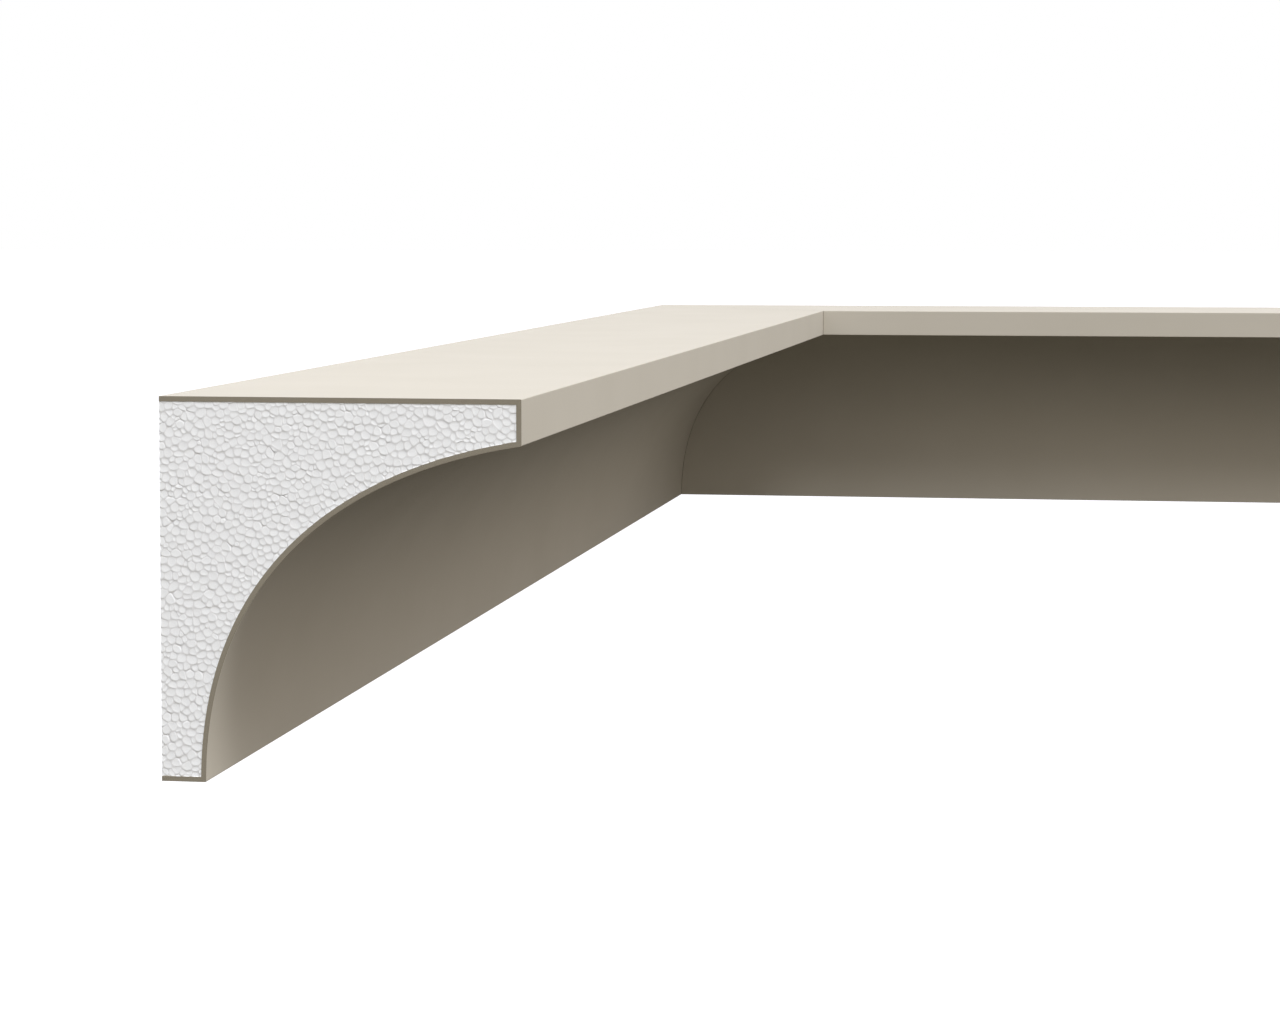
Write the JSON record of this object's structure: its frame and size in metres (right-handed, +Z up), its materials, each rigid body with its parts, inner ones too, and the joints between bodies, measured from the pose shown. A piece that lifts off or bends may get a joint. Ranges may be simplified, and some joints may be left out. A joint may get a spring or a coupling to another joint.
{
  "type": "cornice moulding",
  "caption": "Plain cove cornice of coated foam, mitred round an inside corner, with a flat top, square fascia and narrow ledge, made to be fixed along the top of a wall.",
  "frame": {"origin": "the middle of the left length's back face, half its length along and half its height up, where it is fixed to the wall", "axes": "+X out from the left length's back, +Y along the left length towards the inside corner, +Z up; the right length runs along +X with its back facing +Y"},
  "size_m": [1, 1.8, 0.21],
  "materials": {
    "foam": "white expanded polystyrene foam, matt, with pressed beads showing where it is cut",
    "coating": "beige mineral coating, fine sanded and matt, with a darker cut edge"
  },
  "bodies": {
    "root": {"left_foam_core": "foam", "left_coating": "coating", "right_foam_core": "foam", "right_coating": "coating"}
  },
  "joints": []
}
